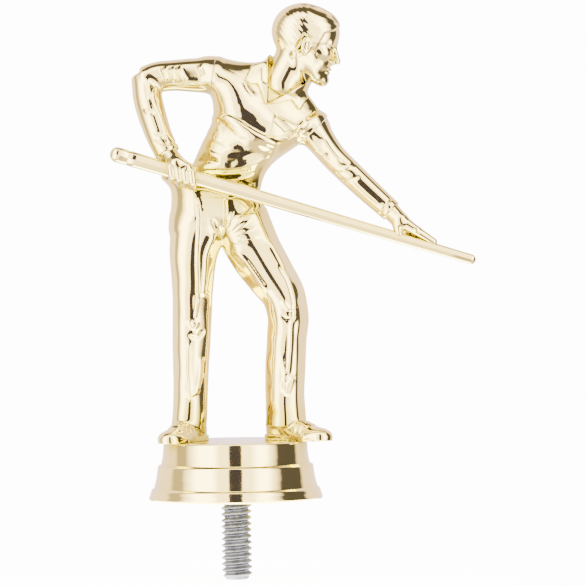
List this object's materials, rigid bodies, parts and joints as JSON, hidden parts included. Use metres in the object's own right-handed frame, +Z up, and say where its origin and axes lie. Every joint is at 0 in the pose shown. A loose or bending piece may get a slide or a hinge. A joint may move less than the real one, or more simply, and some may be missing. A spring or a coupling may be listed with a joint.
{
  "type": "figure trophy",
  "caption": "Gold-plated pool player figure leaning over a cue, on a stepped round pedestal with a threaded stud below it.",
  "frame": {"origin": "on the stud's axis, in the plane of the pedestal's bottom rim", "axes": "+Z up the stud's axis towards the player, -Y the side that the player's chest faces, +X the way the player looks and leans"},
  "size_m": [0.0744, 0.036, 0.1177],
  "materials": {
    "gold_plate": "vacuum-metallised pale gold, mirror bright, over moulded plastic",
    "zinc_plate": "zinc-plated steel, dull grey"
  },
  "bodies": {
    "root": {"pedestal": "gold_plate", "stud": "zinc_plate", "body_front": "gold_plate", "body_back": "gold_plate", "head": "gold_plate", "right_arm": "gold_plate", "left_arm": "gold_plate", "cue": "gold_plate"}
  },
  "joints": []
}
